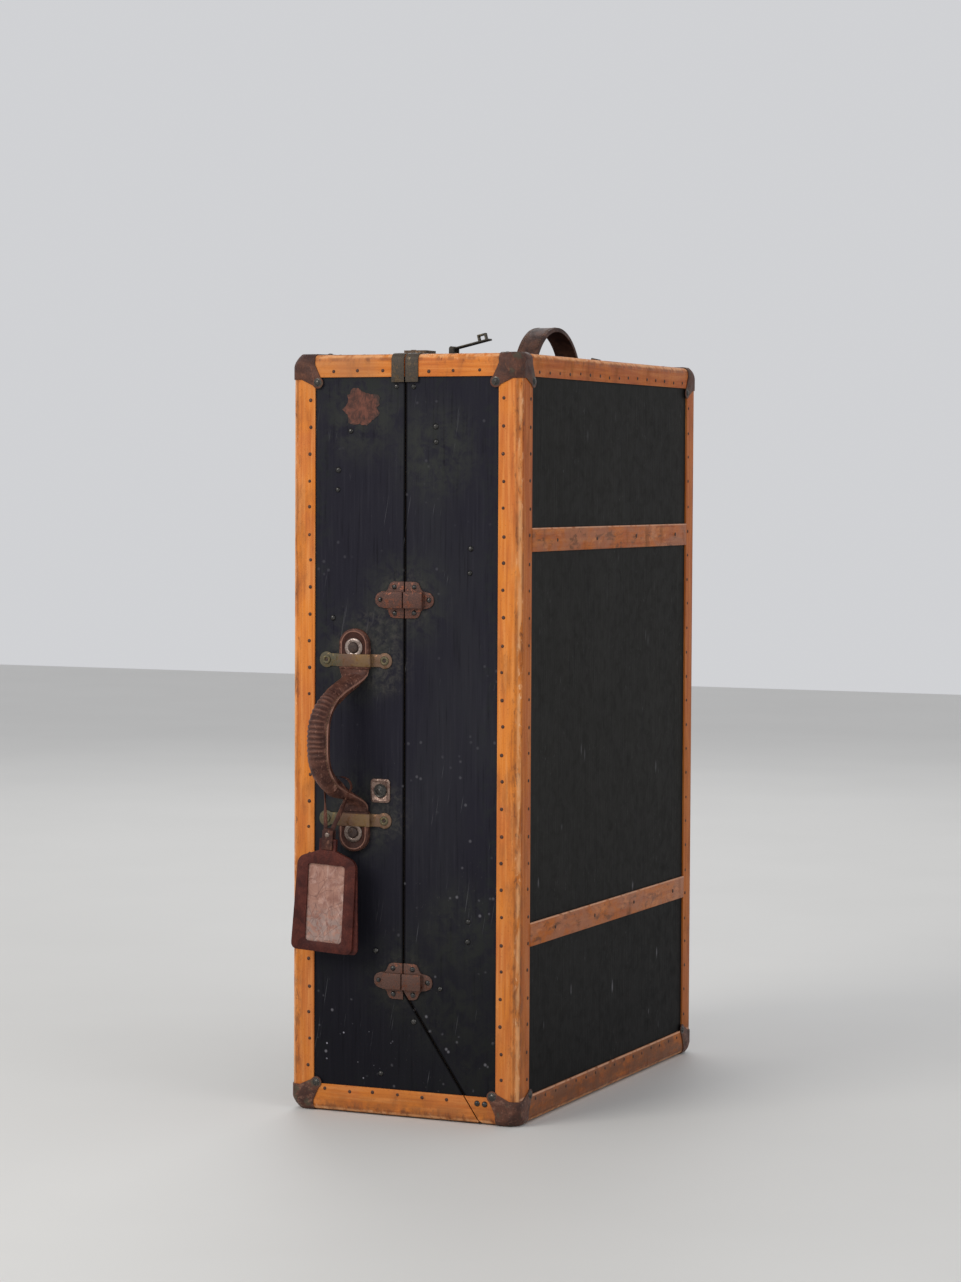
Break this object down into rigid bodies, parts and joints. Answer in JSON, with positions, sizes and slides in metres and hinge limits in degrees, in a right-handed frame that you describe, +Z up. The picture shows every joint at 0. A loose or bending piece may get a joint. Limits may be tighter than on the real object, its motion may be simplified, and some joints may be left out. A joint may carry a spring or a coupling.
{
  "type": "travel trunk",
  "caption": "Standing two-half travel trunk with leather corner caps, tacked bindings, slats, carry handle, luggage tag and end handle; the lid half swings open.",
  "frame": {"origin": "on the floor, under the middle of the case's bottom end", "axes": "+Z up along the long side, +X towards the large side of the lid half, -Y out of the narrow front with the carry handle"},
  "size_m": [0.2374, 0.5167, 0.743],
  "materials": {
    "plywood": "bare plywood",
    "covering": "black-blue coated covering, worn satin",
    "lining": "plain woven cloth",
    "binding": "orange-tan vulcanised fibre, worn satin",
    "tack": "darkened",
    "cap": "dark brown, worn",
    "slat": "stained and worn",
    "hardware": "dull, aged",
    "dowel": "rust brown",
    "steel": "dull",
    "plate": "aged nickel",
    "handle_leather": "dark brown, polished by use",
    "tag_leather": "oxblood brown",
    "card": "aged, creased",
    "patch": "worn reddish remnant",
    "key_brass": "worn"
  },
  "bodies": {
    "base": {"base_side_panel": "plywood", "base_front_wall": "plywood", "base_back_wall": "plywood", "base_top_end": "plywood", "base_bottom_end": "plywood", "base_cover": "covering", "base_lining": "lining", "base_binding": "binding", "base_tacks": "tack", "base_corner_caps": "cap", "base_cap_rivets": "hardware", "base_slats": "slat", "base_slat_nails": "tack", "base_dowel_housings": "dowel", "base_dowel_rivets": "dowel", "base_ferrules": "hardware", "base_wall_rivets": "hardware", "label_patch": "patch", "handle_brackets": "hardware", "bracket_rivets": "hardware", "handle_tabs": "handle_leather", "tab_studs": "hardware", "handle_pins": "steel", "snap_plate": "plate", "snap_stud": "plate", "lock_cases": "hardware", "hinge_base_leaves": "hardware"},
    "lid": {"lid_side_panel": "plywood", "lid_front_wall": "plywood", "lid_back_wall": "plywood", "lid_top_end": "plywood", "lid_bottom_end": "plywood", "lid_cover": "covering", "lid_lining": "lining", "lid_binding": "binding", "lid_tacks": "tack", "lid_corner_caps": "cap", "lid_cap_rivets": "hardware", "lid_slats": "slat", "lid_slat_nails": "tack", "lid_dowel_tongues": "dowel", "lid_dowel_rivets": "dowel", "lid_ferrules": "hardware", "lid_wall_rivets": "hardware", "hasp_hinges": "hardware", "end_handle": "handle_leather", "end_plates": "hardware", "hanging_rail": "steel", "hinge_lid_leaves": "hardware"},
    "handle": {"handle_grip": "handle_leather", "grip_sleeves": "hardware"},
    "tag": {"tag_back": "tag_leather", "tag_card": "card", "tag_front": "tag_leather", "tag_strap": "tag_leather", "tag_rivet": "plate"},
    "hasp_front_arm": {"hasp_front": "hardware"},
    "hasp_back_arm": {"hasp_back": "hardware"},
    "key_front": {"key_plug_front": "key_brass"},
    "key_back": {"key_plug_back": "key_brass"}
  },
  "joints": [
    {"name": "lid_hinge", "type": "hinge", "parent": "base", "child": "lid", "pos_m": [0.077, 0, 0.003], "axis": [0, 1, 0], "range_deg": [0, 90]},
    {"name": "handle_swing", "type": "hinge", "parent": "base", "child": "handle", "pos_m": [-0.051, -0.2295, 0.3515], "axis": [0, 0, 1], "range_deg": [-20, 50]},
    {"name": "tag_swing", "type": "hinge", "parent": "handle", "child": "tag", "pos_m": [-0.05754, -0.24963, 0.31846], "axis": [-1, 0, 0], "range_deg": [0, 40]},
    {"name": "hasp_front_swing", "type": "hinge", "parent": "lid", "child": "hasp_front_arm", "pos_m": [0.009, -0.14, 0.7176], "axis": [0, -1, 0], "range_deg": [0, 167]},
    {"name": "hasp_back_swing", "type": "hinge", "parent": "lid", "child": "hasp_back_arm", "pos_m": [0.009, 0.14, 0.7176], "axis": [0, -1, 0], "range_deg": [0, 192]},
    {"name": "key_front_turn", "type": "hinge", "parent": "base", "child": "key_front", "pos_m": [-0.0332, -0.14, 0.713], "axis": [0, 0, 1], "range_deg": [0, 90]},
    {"name": "key_back_turn", "type": "hinge", "parent": "base", "child": "key_back", "pos_m": [-0.0332, 0.14, 0.713], "axis": [0, 0, 1], "range_deg": [0, 90]}
  ]
}
